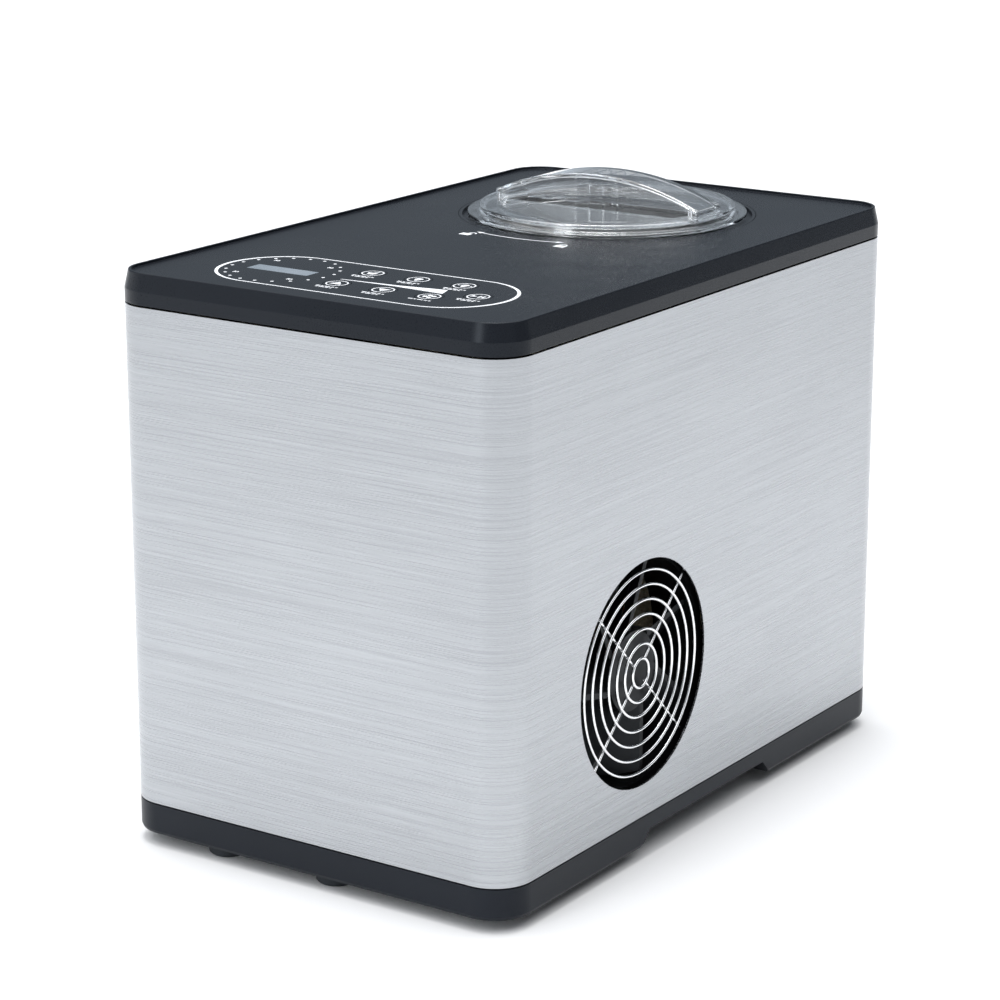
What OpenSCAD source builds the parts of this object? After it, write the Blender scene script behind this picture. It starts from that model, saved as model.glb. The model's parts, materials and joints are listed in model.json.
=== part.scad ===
// Counter-top ice cream maker with a built-in compressor.
// Millimetres. Front is -Y, the fan grille faces +X, up is +Z, and the feet stand on z = 0.

/* [Housing] */
// Width of the case across the front
body_w = 228; // [200:1:260]
// Length of the case from front to rear
body_l = 364; // [330:1:400]
// Height of the steel wrap
steel_h = 250; // [220:1:280]
// Radius of the upright corners
corner_r = 20; // [10:1:30]
// Sheet thickness of the steel wrap
sheet_t = 1; // [0.6:0.1:2]
// Height of the base tray's side
base_h = 16; // [12:0.5:24]
// Height of the top cover's side
cover_h = 15.7; // [12:0.1:20]
// Height of the plain lower band on the cover's side
cover_band = 7; // [4:0.5:10]
// How far the cover's top edge leans in
cover_lean = 2; // [0:0.1:4]
// Depth of the cover's top below its rim
panel_drop = 1.3; // [0.6:0.1:2.5]
// Width of the cover's rim
rim_w = 1.5; // [1:0.1:4]

/* [Feet] */
// Radius of a rubber foot
foot_r = 10; // [6:0.5:14]
// Height of a rubber foot below the tray
foot_h = 6; // [3:0.5:10]

/* [Hand grips] */
// Length of a grip notch at the tray's lower edge
grip_l = 128; // [80:1:160]
// Height of a grip notch
grip_h = 8; // [5:0.5:10]
// Depth of a grip notch into the tray
grip_d = 18; // [10:1:25]

/* [Fan grille] */
// Distance of the grille's centre from the front face
grille_y = 118.5; // [90:0.5:150]
// Height of the grille's centre above the base tray's top
grille_z = 74; // [65:0.5:110]
// Radius of the round opening in the steel
grille_r = 56.8; // [40:0.1:60]
// Number of rings in the wire guard
ring_n = 7; // [4:1:9]
// Pitch of the rings
ring_pitch = 7.26; // [5:0.01:9]
// Thickness of the guard's wire
wire_d = 1.5; // [1:0.1:3]

/* [Control panel] */
// Radius of the panel's round ends
panel_r = 32; // [26:0.5:36]
// Distance between the centres of the round ends
panel_span = 96.6; // [80:0.1:120]
// Distance of the panel's centre line from the front face
panel_y = 51.2; // [40:0.1:70]
// Radius of a key
key_r = 6.6; // [5:0.1:8]
// Travel of a key
key_travel = 0.6; // [0.3:0.1:1]
// Length of the display window
window_l = 35.6; // [25:0.1:45]
// Width of the display window
window_w = 9.9; // [8:0.1:14]

/* [Bowl, paddle and lid] */
// Distance of the bowl's centre from the front face
bowl_y = 263.5; // [250:0.5:275]
// Radius of the round opening in the cover
collar_r = 77.4; // [74:0.1:80]
// Radius of the lid's flange
flange_r = 72.6; // [70:0.1:74]
// Radius of the lid's raised drum
drum_r = 66.2; // [62:0.1:68]
// Radius of the lid's sunken middle
sunk_r = 55; // [50:0.5:60]
// Height of the lid's drum above the steel wrap
drum_z = 20; // [18:0.1:24]
// Height of the lid's grip above the steel wrap
grip_top = 36.3; // [30:0.1:42]
// Radius of the grip's arch
arch_r = 147; // [120:1:200]
// Width of the grip
arch_w = 24; // [16:0.5:30]
// Wall of the clear lid
lid_t = 2; // [1.5:0.1:3]
// Outer radius of the bowl
bowl_r = 65.4; // [60:0.1:66]
// Wall of the bowl
bowl_t = 1.2; // [0.8:0.1:2]

/* [Gears] */
// Module of the gears
gear_m = 1.5; // [1:0.1:2]
// Teeth of the output wheel
wheel_n = 60; // [40:1:80]
// Teeth of the idler wheel
idler_n = 48; // [36:1:60]
// Teeth of each pinion
pinion_n = 12; // [10:1:16]

/* [Hidden] */
$fn = 96;
gap = 0.4;
base_z = foot_h;
steel_z = base_z + base_h;
cover_z = steel_z + steel_h;
top_z = cover_z + cover_h;
panel_z = top_z - panel_drop;
front_y = -body_l / 2;
half_w = body_w / 2;
floor_t = 4;
floor_z = base_z + floor_t;
deck_t = 5;
under_z = panel_z - deck_t;
gy = front_y + grille_y;
gz = steel_z + grille_z;
by = front_y + bowl_y;
py = front_y + panel_y;
lid_z = cover_z + drum_z;
ledge_top = panel_z - 1.6;
ledge_bottom = ledge_top - 1.6;
ledge_r = 68.8;
lug_angles = [90, 210, 330];
well_ri = 66;
well_ro = 68;
well_z = 118;
well_top = 276.3;
gasket_top = 277.9;
rim_z = 278.2;
rim_top = 279.4;
seal_z = 279.7;
seal_top = 280.9;
skirt_z = 281.2;
bowl_z = 121;
tunnel_ri = 6;
tunnel_ro = 8;
tunnel_top = 244;
shaft_r = 5;
shaft_top = 254;
drive_sq = 7;
fan_face = 109.6;
fan_t = 25;
fan_size = 120;
fan_hole = 52.5;
fan_back = fan_face - fan_t;
wire_back = fan_face + wire_d / 2;
wire_front = wire_back + wire_d + 0.02;
comp_x = -38;
comp_y = -106;
comp_dx = 46;
comp_dy = 44;
comp_r = 50;
idler_y = by - gear_m * (wheel_n + pinion_n) / 2 - 0.3;
mesh_angle = 202.5;
mesh_len = gear_m * (idler_n + pinion_n) / 2 + 0.3;
motor_x = mesh_len * cos(mesh_angle);
motor_y = idler_y + mesh_len * sin(mesh_angle);
box_z = 16;
box_top = 44;
box_lid_t = 3;
foot_at = [[-61, -166], [5, -166], [84, -128], [-84, 138], [84, 138]];
key_at = [[-7.9, 17], [18.4, 17], [44.6, 17], [-7.9, -11.2], [18.6, -11.2], [44.6, -11.2], [63.5, 0.6]];
window_at = [-48, -0.6];
board_screw_at = [[-78, 22], [78, 22], [-78, -22], [78, -22]];
leg_at = [[-86, 10], [86, 10], [-86, 162], [86, 162]];
box_screw_at = [[-56, -5], [46, -5], [-56, 129], [46, 129]];
inlet_x = 36;
header_a = 15;

// A rounded rectangle centred on the origin.
module round_rect(w, l, r) {
    square([w - 2 * r, l], center = true);
    square([w, l - 2 * r], center = true);
    for (x = [-1, 1], y = [-1, 1])
        translate([x * (w / 2 - r), y * (l / 2 - r)])
            circle(r);
}

// The case's outline, drawn in by inset.
module outline(inset) {
    round_rect(body_w - 2 * inset, body_l - 2 * inset, corner_r - inset);
}

// A slab of the case's outline between two heights.
module slab(z0, z1, inset = 0) {
    translate([0, 0, z0])
        linear_extrude(z1 - z0)
            outline(inset);
}

// A ring between two radii and two heights, round the bowl's axis.
module bowl_ring(ri, ro, z0, z1) {
    translate([0, by, z0])
        linear_extrude(z1 - z0)
            difference() {
                circle(ro, $fn = 180);
                circle(ri, $fn = 180);
            }
}

// A pan-head screw pointing down from the origin.
module screw(head_r, head_h, shank_r, shank_l) {
    difference() {
        cylinder(r = head_r, h = head_h);
        for (a = [0, 90])
            rotate([0, 0, a])
                translate([-head_r * 0.6, -0.35, head_h - 0.9])
                    cube([head_r * 1.2, 0.7, 2]);
    }
    translate([0, 0, -shank_l])
        cylinder(r = shank_r, h = shank_l + 0.1);
}

// A straight rod between two points, with a ball at each end.
module rod(a, b, r) {
    d = b - a;
    len = norm(d);
    translate(a)
        rotate([0, acos(d[2] / len), atan2(d[1], d[0])])
            cylinder(r = r, h = len, $fn = 32);
    for (p = [a, b])
        translate(p)
            sphere(r = r + 0.3, $fn = 32);
}

// A pipe run through a list of points.
module pipe(points, r) {
    for (i = [0:len(points) - 2])
        rod(points[i], points[i + 1], r);
}

// A flat spur gear with straight-sided teeth.
module spur(n, h, bore) {
    rp = gear_m * n / 2;
    root = rp - 1.25 * gear_m;
    tip = rp + 0.9 * gear_m;
    pitch = PI * gear_m;
    linear_extrude(h)
        difference() {
            union() {
                circle(root + 0.05);
                for (i = [0:n - 1])
                    rotate([0, 0, i * 360 / n])
                        polygon([
                            [root - 0.5, -pitch * 0.29], [root, -pitch * 0.29], [rp, -pitch * 0.2],
                            [tip, -pitch * 0.1], [tip, pitch * 0.1], [rp, pitch * 0.2],
                            [root, pitch * 0.29], [root - 0.5, pitch * 0.29]
                        ]);
            }
            circle(bore, $fn = 48);
        }
}

// ---- housing ----

// The tray's side with its lower edge broken.
module tray_side() {
    hull() {
        slab(base_z, base_z + 0.01, 2.2);
        slab(base_z + 0.7, base_z + 0.71, 0.65);
        slab(base_z + 2.2, steel_z);
    }
}

// One grip notch at the tray's lower edge, on the +X side.
module grip_cut() {
    translate([half_w - grip_d, 0, base_z - 1])
        rotate([90, 0, 90])
            linear_extrude(grip_d + 1)
                polygon([
                    [-grip_l / 2 - 1, 0], [grip_l / 2 + 1, 0],
                    [grip_l / 2 - 8, grip_h + 1], [-grip_l / 2 + 8, grip_h + 1]
                ]);
}

module base_tray() {
    color([0.17, 0.18, 0.21])
    difference() {
        union() {
            difference() {
                tray_side();
                slab(floor_z, steel_z + 1, 3);
            }
            for (s = [-1, 1])
                intersection() {
                    slab(floor_z - 0.1, steel_z, 1);
                    translate([s * (half_w - grip_d / 2) - grip_d / 2 - 3, -grip_l / 2 - 6, floor_z - 0.1])
                        cube([grip_d + 6, grip_l + 12, grip_h]);
                }
            difference() {
                slab(steel_z - 4, steel_z + 6, sheet_t + 0.4);
                slab(steel_z - 5, steel_z + 7, sheet_t + 2.4);
            }
        }
        grip_cut();
        mirror([1, 0, 0])
            grip_cut();
        for (p = foot_at)
            translate([p[0], p[1], base_z - 1])
                cylinder(r = 4.1, h = floor_t + 2);
        for (p = leg_at)
            translate([p[0], p[1], base_z - 1]) {
                cylinder(r = 1.8, h = 8);
                cylinder(r = 3.6, h = 3);
            }
        for (x = [-1, 1], y = [-1, 1])
            translate([comp_x + x * comp_dx, comp_y + y * comp_dy, base_z + 1])
                cylinder(r = 3.1, h = 8);
        for (i = [0:8])
            translate([-72 + i * 7, -128, base_z - 1])
                cube([3, 36, floor_t + 2]);
    }
}

module rubber_feet() {
    color([0.08, 0.09, 0.1])
    for (p = foot_at)
        translate([p[0], p[1], 0])
            rotate_extrude()
                polygon([
                    [0, 0], [foot_r - 1, 0], [foot_r, 1], [foot_r, foot_h],
                    [4, foot_h], [4, floor_z + 0.2], [5, floor_z + 0.2], [4, floor_z + 2], [0, floor_z + 2]
                ]);
}

module base_screws() {
    color([0.75, 0.76, 0.78])
    for (p = leg_at)
        translate([p[0], p[1], base_z + 1.9])
            rotate([180, 0, 0])
                screw(3.4, 1.7, 1.7, 13);
}

module steel_wrap() {
    color([0.78, 0.8, 0.82])
    difference() {
        slab(steel_z + gap, cover_z - gap);
        slab(steel_z - 1, cover_z + 1, sheet_t);
        translate([half_w - 5, gy, gz])
            rotate([0, 90, 0])
                cylinder(r = grille_r, h = 10, $fn = 180);
        for (i = [0:13], j = [0:2])
            translate([-half_w - 5, -150 + i * 9, 60 + j * 34])
                cube([10, 4, 26]);
        translate([inlet_x - 14, -front_y - 5, 40])
            cube([28, 10, 22]);
    }
}

// The cover's outer shape.
module cover_body() {
    hull() {
        slab(cover_z + gap, cover_z + cover_band);
        slab(top_z - 0.8, top_z - 0.79, cover_lean - 0.35);
        slab(top_z - 0.2, top_z - 0.19, cover_lean);
        slab(top_z - 0.01, top_z, cover_lean + 0.25);
    }
}

// The stadium outline of the control panel, drawn in by inset.
module panel_shape(inset) {
    translate([0, py])
        union() {
            square([panel_span, 2 * (panel_r - inset)], center = true);
            for (s = [-1, 1])
                translate([s * panel_span / 2, 0])
                    circle(panel_r - inset, $fn = 120);
        }
}

module top_cover() {
    color([0.2, 0.21, 0.24])
    difference() {
        union() {
            difference() {
                cover_body();
                slab(cover_z - 1, under_z, 3);
                slab(panel_z, top_z + 1, cover_lean + rim_w);
            }
            difference() {
                slab(cover_z - 8, cover_z + gap + 0.1, sheet_t + 0.4);
                slab(cover_z - 9, cover_z + 1, sheet_t + 3.4);
            }
            for (p = board_screw_at)
                translate([p[0], py + p[1], 276.4])
                    cylinder(r = 3.5, h = under_z - 276.3);
        }
        translate([0, by, under_z - 1])
            cylinder(r = collar_r, h = 20, $fn = 180);
        translate([0, 0, panel_z - 0.6])
            linear_extrude(5)
                panel_shape(0);
        translate([window_at[0], py + window_at[1], under_z])
            cube([window_l + 7, window_w + 7, 14], center = true);
        for (k = key_at)
            translate([k[0], py + k[1], 0]) {
                translate([0, 0, panel_z - 3.2])
                    cylinder(r = key_r + 0.3, h = 5);
                translate([0, 0, under_z - 2])
                    cylinder(r = 2.8, h = 8);
            }
        for (p = board_screw_at)
            translate([p[0], py + p[1], 270])
                cylinder(r = 1.3, h = 14);
        for (a = [30:60:330])
            translate([0, by, 0])
                rotate([0, 0, a])
                    translate([80.4, 0, under_z - 1])
                        cylinder(r = 1.3, h = 4);
        for (x = [-1, 1], y = [-140, 0, 140])
            translate([x * (half_w - sheet_t - 3), y, cover_z - 4])
                rotate([0, 90, 0])
                    cylinder(r = 1.3, h = 8, center = true);
    }
}

module cover_screws() {
    color([0.75, 0.76, 0.78])
    for (x = [-1, 1], y = [-140, 0, 140])
        translate([x * (half_w - sheet_t - 3.4), y, cover_z - 4])
            rotate([0, -x * 90, 0])
                screw(2.6, 1.6, 1.2, 2.6);
}

module bowl_collar() {
    color([0.16, 0.17, 0.19])
    difference() {
        union() {
            bowl_ring(75.4, 77.1, ledge_bottom - 5, panel_z);
            bowl_ring(ledge_r, 75.5, ledge_bottom, ledge_top);
            bowl_ring(72.6, 75.5, well_top + 0.1, ledge_bottom + 0.1);
            bowl_ring(75.4, 84, under_z - 2.4, under_z - 0.1);
        }
        for (a = lug_angles)
            translate([0, by, 0])
                rotate([0, 0, a])
                    translate([66, -10.5, ledge_bottom - 0.5])
                        cube([5.7, 21, 4]);
        for (a = [30:60:330])
            translate([0, by, 0])
                rotate([0, 0, a])
                    translate([80.4, 0, under_z - 5])
                        cylinder(r = 1.5, h = 8);
    }
}

module collar_screws() {
    color([0.75, 0.76, 0.78])
    for (a = [30:60:330])
        translate([0, by, 0])
            rotate([0, 0, a])
                translate([80.4, 0, under_z - 2.5])
                    rotate([180, 0, 0])
                        screw(2.6, 1.6, 1.2, 5);
}

// ---- control panel ----

module panel_overlay() {
    color([0.2, 0.21, 0.24])
    translate([0, 0, panel_z - 0.6])
        linear_extrude(0.6)
            difference() {
                panel_shape(0.05);
                translate([window_at[0], py + window_at[1]])
                    square([window_l + 0.1, window_w + 0.1], center = true);
                for (k = key_at)
                    translate([k[0], py + k[1]])
                        circle(key_r + 0.3);
            }
}

module display_window() {
    color([0.5, 0.55, 0.6])
    translate([window_at[0], py + window_at[1], panel_z - 0.75])
        cube([window_l, window_w, 1.5], center = true);
}

module display_module() {
    color([0.3, 0.34, 0.36])
    translate([window_at[0] - window_l / 2 - 3, py + window_at[1] - window_w / 2 - 3, 276.4])
        cube([window_l + 6, window_w + 6, panel_z - 1.6 - 276.4]);
}

module control_board() {
    color([0.05, 0.3, 0.16])
    difference() {
        translate([0, py, 275.6])
            cube([166, 54, 1.6], center = true);
        for (p = board_screw_at)
            translate([p[0], py + p[1], 270])
                cylinder(r = 1.5, h = 10);
    }
}

module key_switches() {
    color([0.1, 0.1, 0.11])
    for (k = key_at)
        translate([k[0], py + k[1], 276.4]) {
            translate([-3, -3, 0])
                cube([6, 6, 1]);
            cylinder(r = 1.7, h = 1.6);
        }
}

module board_screws() {
    color([0.75, 0.76, 0.78])
    for (p = board_screw_at)
        translate([p[0], py + p[1], 274.7])
            rotate([180, 0, 0])
                screw(2.6, 1.6, 1.2, 5);
}

// One key: its cap, flush with the panel, and its stem.
module key(i) {
    color([0.2, 0.21, 0.24])
    translate([key_at[i][0], py + key_at[i][1], 0]) {
        translate([0, 0, panel_z - 2.2])
            cylinder(r = key_r, h = 2.2);
        translate([0, 0, 278.7])
            cylinder(r = 2.4, h = panel_z - 2.1 - 278.7);
    }
}

module key_mix_only() {
    key(0);
}

module key_soft() {
    key(1);
}

module key_firm() {
    key(2);
}

module key_time_up() {
    key(3);
}

module key_time_down() {
    key(4);
}

module key_stir() {
    key(5);
}

module key_start() {
    key(6);
}

// ---- fan and condenser ----

// Puts its children on the fan's axis, with their z axis along +X.
module on_fan(x) {
    translate([x, gy, gz])
        rotate([0, 90, 0])
            children();
}

module fan_guard() {
    color([0.85, 0.86, 0.87]) {
        for (k = [1:ring_n])
            on_fan(wire_front)
                rotate_extrude($fn = 144)
                    translate([k * ring_pitch, 0])
                        circle(wire_d / 2, $fn = 24);
        for (a = [45:90:315])
            on_fan(wire_back)
                rotate([0, 0, a])
                    guard_spoke();
    }
}

// One spoke of the guard, from the innermost ring out to its screw eye.
module guard_spoke() {
    difference() {
        union() {
            translate([ring_pitch - wire_d / 2, 0, 0])
                rotate([0, 90, 0])
                    cylinder(r = wire_d / 2, h = fan_hole * sqrt(2) - ring_pitch - 2.2, $fn = 24);
            translate([fan_hole * sqrt(2), 0, -wire_d / 2 + 0.05])
                cylinder(r = 4, h = wire_d - 0.1);
        }
        translate([fan_hole * sqrt(2), 0, -5])
            cylinder(r = 2.2, h = 10);
    }
}

module fan_guard_screws() {
    color([0.75, 0.76, 0.78])
    for (a = [45:90:315])
        on_fan(wire_back + wire_d / 2 + 0.02)
            rotate([0, 0, a])
                translate([fan_hole * sqrt(2), 0, 0])
                    screw(3.2, 1.3, 1.9, 14);
}

module fan_frame() {
    color([0.06, 0.06, 0.07])
    difference() {
        union() {
            difference() {
                on_fan(fan_back)
                    linear_extrude(fan_t)
                        round_rect(fan_size, fan_size, 8);
                on_fan(fan_back - 1)
                    cylinder(r = 56.5, h = fan_t + 2, $fn = 144);
            }
            on_fan(fan_back)
                cylinder(r = 19, h = 3);
            on_fan(fan_back)
                cylinder(r = 3.95, h = 12);
            for (a = [20:120:260])
                on_fan(fan_back + 1.5)
                    rotate([0, 0, a])
                        translate([38, 0, 0])
                            cube([40, 6, 3], center = true);
        }
        for (a = [45:90:315])
            on_fan(fan_back - 1)
                rotate([0, 0, a])
                    translate([fan_hole * sqrt(2), 0, 0])
                        cylinder(r = 2, h = fan_t + 2);
    }
}

module fan_rotor() {
    color([0.12, 0.12, 0.13])
    difference() {
        union() {
            on_fan(fan_back + 3.6)
                cylinder(r = 20, h = 19);
            intersection() {
                on_fan(fan_back + 4.5)
                    difference() {
                        cylinder(r = 54.5, h = 17, $fn = 120);
                        translate([0, 0, -1])
                            cylinder(r = 19, h = 19);
                    }
                for (i = [0:6])
                    on_fan(fan_back + 13)
                        rotate([0, 0, i * 360 / 7])
                            translate([37, 0, 0])
                                rotate([38, 0, 0])
                                    cube([38, 30, 1.8], center = true);
            }
        }
        on_fan(fan_back)
            cylinder(r = 4.02, h = 12.5);
    }
}

// Heights of the condenser tube's passes.
pass_z = [54, 74, 94, 114, 134];

module condenser_fins() {
    color([0.8, 0.81, 0.82])
    difference() {
        for (i = [0:16])
            translate([56, -122 + i * 6, 44])
                cube([22, 0.6, 100]);
        for (z = pass_z)
            translate([67, 0, z])
                rotate([90, 0, 0])
                    cylinder(r = 3.55, h = 300, center = true, $fn = 32);
    }
}

module condenser_tube() {
    color([0.72, 0.45, 0.28])
    for (i = [0:4]) {
        translate([67, -22, pass_z[i]])
            rotate([90, 0, 0])
                cylinder(r = 3.5, h = 104, $fn = 32);
        if (i < 4)
            translate([67, i % 2 == 0 ? -22 : -126, (pass_z[i] + pass_z[i + 1]) / 2])
                rotate([90, 0, 90])
                    rotate([0, 0, i % 2 == 0 ? -90 : 90])
                        rotate_extrude(angle = 180, $fn = 64)
                            translate([10, 0])
                                circle(3.5, $fn = 32);
    }
}

// ---- compressor and pipes ----

module compressor_shell() {
    color([0.08, 0.08, 0.09])
    translate([comp_x, comp_y, 0]) {
        rotate_extrude()
            polygon([
                [0, 22.85], [36, 22.85], [46, 30], [49, 42], [49, 84], [51.5, 84], [51.5, 88],
                [49, 88], [49, 130], [44, 146], [30, 156], [0, 160]
            ]);
        translate([-52, -9, 60])
            cube([12, 18, 26]);
    }
}

module compressor_plate() {
    color([0.1, 0.1, 0.11])
    difference() {
        translate([comp_x, comp_y, 20.4])
            linear_extrude(2.4)
                round_rect(112, 108, 8);
        for (x = [-1, 1], y = [-1, 1])
            translate([comp_x + x * comp_dx, comp_y + y * comp_dy, 15])
                cylinder(r = 5.2, h = 12);
    }
}

module compressor_grommets() {
    color([0.05, 0.05, 0.06])
    for (x = [-1, 1], y = [-1, 1])
        translate([comp_x + x * comp_dx, comp_y + y * comp_dy, 0])
            rotate_extrude()
                polygon([
                    [3.1, floor_z], [8, floor_z], [8, 20.3], [5.1, 20.3],
                    [5.1, 22.9], [7.5, 22.9], [7.5, 26], [3.1, 26]
                ]);
}

module compressor_bolts() {
    color([0.75, 0.76, 0.78])
    for (x = [-1, 1], y = [-1, 1])
        translate([comp_x + x * comp_dx, comp_y + y * comp_dy, 0]) {
            translate([0, 0, 26.1])
                cylinder(r = 6, h = 3, $fn = 6);
            translate([0, 0, base_z + 1.2])
                cylinder(r = 3, h = 26.2 - base_z - 1.2);
        }
}

module discharge_line() {
    color([0.72, 0.45, 0.28])
    pipe([
        [comp_x + 52.4, comp_y, 110], [27, comp_y, 110], [27, comp_y, 160],
        [27, -13, 160], [67, -13, 160], [67, -13, 134], [67, -18.6, 134]
    ], 3);
}

module liquid_line() {
    color([0.72, 0.45, 0.28])
    pipe([
        [67, -128.9, 54], [67, -134, 54], [34, -134, 54], [34, -24, 54], [34, -24, 57.1]
    ], 2.5);
}

module filter_drier() {
    color([0.72, 0.45, 0.28])
    translate([34, -24, 0])
        rotate_extrude()
            polygon([[0, 60], [2.5, 60], [2.5, 66], [8, 72], [8, 108], [2.5, 114], [2.5, 120], [0, 120]]);
}

module capillary_tube() {
    color([0.72, 0.45, 0.28])
    pipe([
        [34, -24, 121.9], [34, -24, 200], [72 * sin(header_a), -24, 200], [72 * sin(header_a), by - 72 * cos(header_a) - 4.6, 200]
    ], 1.5);
}

module suction_line() {
    color([0.72, 0.45, 0.28])
    pipe([
        [-72 * sin(header_a), by - 72 * cos(header_a) - 6.1, 150], [-72 * sin(header_a), -24, 150],
        [comp_x, -24, 150], [comp_x, -24, 100], [comp_x, comp_y + 52.5, 100]
    ], 3);
}

// ---- cooling well ----

module evaporator_coil() {
    color([0.72, 0.45, 0.28])
    translate([0, by, 0]) {
        for (i = [0:8])
            translate([0, 0, 130 + i * 15])
                rotate_extrude($fn = 120)
                    translate([70.3, 0])
                        circle(1.8, $fn = 24);
        for (s = [-1, 1])
            rotate([0, 0, -90 + s * header_a])
                translate([71.35, 0, 126])
                    cylinder(r = 3.1, h = 128, $fn = 24);
    }
}

module cooling_well() {
    color([0.8, 0.81, 0.82])
    difference() {
        union() {
            bowl_ring(10, well_ro, well_z, well_z + 2);
            bowl_ring(well_ri, well_ro, well_z, well_top);
            bowl_ring(well_ri, 72.4, well_top - 1.5, well_top);
        }
        translate([0, by, well_z - 1])
            cylinder(r = 10, h = 4);
    }
}

module well_gasket() {
    color([0.75, 0.76, 0.78])
    bowl_ring(66.3, 71.8, well_top, gasket_top);
}

module insulation_foam() {
    color([0.93, 0.9, 0.78])
    difference() {
        translate([0, 88.5, 95])
            linear_extrude(167)
                round_rect(200, 175, 14);
        translate([0, by, 112])
            cylinder(r = 75, h = 200, $fn = 144);
        translate([0, by, 90])
            cylinder(r = 16, h = 40);
        translate([72 * sin(header_a), 10, 200])
            rotate([90, 0, 0])
                cylinder(r = 2.6, h = 20);
        translate([-72 * sin(header_a), 10, 150])
            rotate([90, 0, 0])
                cylinder(r = 4, h = 20);
    }
}

module well_frame() {
    color([0.62, 0.64, 0.66])
    difference() {
        union() {
            translate([0, 88.5, 92.5])
                linear_extrude(2.4)
                    round_rect(196, 171, 10);
            for (p = leg_at)
                translate([p[0] - 5, p[1] - 5, floor_z])
                    cube([10, 10, 83]);
        }
        for (p = leg_at)
            translate([p[0], p[1], floor_z - 1])
                cylinder(r = 1.8, h = 14);
        translate([0, by, 80])
            cylinder(r = 16, h = 30);
    }
}

module well_bush() {
    color([0.9, 0.9, 0.88])
    translate([0, by, 0])
        rotate_extrude()
            polygon([
                [shaft_r + 0.05, 104], [14, 104], [14, well_z - 0.05], [9.95, well_z - 0.05],
                [9.95, well_z + 2], [shaft_r + 0.05, well_z + 2]
            ]);
}

// ---- drive ----

module gearbox_housing() {
    color([0.32, 0.33, 0.35])
    difference() {
        union() {
            translate([-5, 59, 0]) {
                difference() {
                    translate([0, 0, box_z])
                        linear_extrude(box_top - box_z)
                            round_rect(116, 152, 10);
                    translate([0, 0, box_z + 3])
                        linear_extrude(40)
                            round_rect(110, 146, 7);
                }
            }
            for (p = box_screw_at)
                translate([p[0], p[1], floor_z]) {
                    cylinder(r = 5.5, h = box_z - floor_z + 0.1);
                    cylinder(r = 4.6, h = box_top - floor_z);
                }
            translate([0, by, box_z])
                cylinder(r = 9, h = 5);
            translate([0, idler_y, box_z])
                cylinder(r = 6, h = 5);
        }
        translate([0, by, box_z + 1])
            cylinder(r = shaft_r + 0.05, h = 20);
        translate([0, idler_y, box_z + 1])
            cylinder(r = 3.05, h = 20);
        for (p = box_screw_at)
            translate([p[0], p[1], box_top - 11])
                cylinder(r = 1.5, h = 13);
    }
}

module gearbox_cover() {
    color([0.32, 0.33, 0.35])
    difference() {
        translate([-5, 59, box_top])
            linear_extrude(box_lid_t)
                round_rect(116, 152, 10);
        translate([0, by, box_top - 1])
            cylinder(r = shaft_r + 0.05, h = 10);
        translate([0, idler_y, box_top - 1])
            cylinder(r = 3.05, h = 10);
        translate([motor_x, motor_y, box_top - 1])
            cylinder(r = 8, h = 10);
        for (p = box_screw_at)
            translate([p[0], p[1], box_top - 1])
                cylinder(r = 1.7, h = 12);
    }
}

module gearbox_screws() {
    color([0.75, 0.76, 0.78])
    for (p = box_screw_at)
        translate([p[0], p[1], box_top + box_lid_t + 0.05])
            screw(3, 1.8, 1.4, 10);
}

module output_gear() {
    color([0.92, 0.91, 0.86])
    translate([0, by, 22])
        spur(wheel_n, 9, shaft_r + 0.03);
}

module drive_shaft() {
    color([0.75, 0.76, 0.78])
    translate([0, by, 0]) {
        translate([0, 0, box_z + 1.4])
            cylinder(r = shaft_r, h = tunnel_top - box_z - 1.4);
        translate([-drive_sq / 2, -drive_sq / 2, tunnel_top - 1])
            cube([drive_sq, drive_sq, shaft_top - tunnel_top + 1]);
    }
}

module idler_gear() {
    color([0.92, 0.91, 0.86])
    translate([0, idler_y, 0]) {
        translate([0, 0, 22])
            rotate([0, 0, 15])
                spur(pinion_n, 10.5, 2);
        translate([0, 0, 32.4])
            spur(idler_n, 8, 2);
        translate([0, 0, box_z + 1.4])
            cylinder(r = 3, h = box_top + box_lid_t - box_z - 1.5);
    }
}

module motor_pinion() {
    color([0.75, 0.76, 0.78])
    translate([motor_x, motor_y, 0]) {
        translate([0, 0, 32.4])
            rotate([0, 0, 7.5])
                spur(pinion_n, 8, 1.5);
        translate([0, 0, 31])
            cylinder(r = 3, h = 40);
    }
}

module stir_motor() {
    color([0.6, 0.62, 0.64])
    difference() {
        translate([motor_x, motor_y, 50]) {
            cylinder(r = 26, h = 34);
            translate([0, 0, 34])
                cylinder(r = 14, h = 4);
        }
        translate([motor_x, motor_y, 49])
            cylinder(r = 3.05, h = 23);
    }
}

module motor_bracket() {
    color([0.62, 0.64, 0.66])
    difference() {
        translate([motor_x, motor_y, box_top + box_lid_t])
            cylinder(r = 16, h = 3);
        translate([motor_x, motor_y, box_top])
            cylinder(r = 8, h = 10);
    }
}

// ---- electrics ----

module power_board() {
    color([0.05, 0.3, 0.16])
    union() {
        translate([54.2, 40, 16])
            cube([38, 90, 1.6]);
        translate([60, 48, 17.5])
            cube([16, 20, 18]);
        translate([60, 76, 17.5])
            cube([14, 18, 15]);
        for (y = [104, 118])
            translate([70, y, 17.5])
                cylinder(r = 5, h = 20);
        for (x = [58, 88], y = [44, 126])
            translate([x, y, floor_z])
                cylinder(r = 3, h = 6.1);
    }
}

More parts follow.
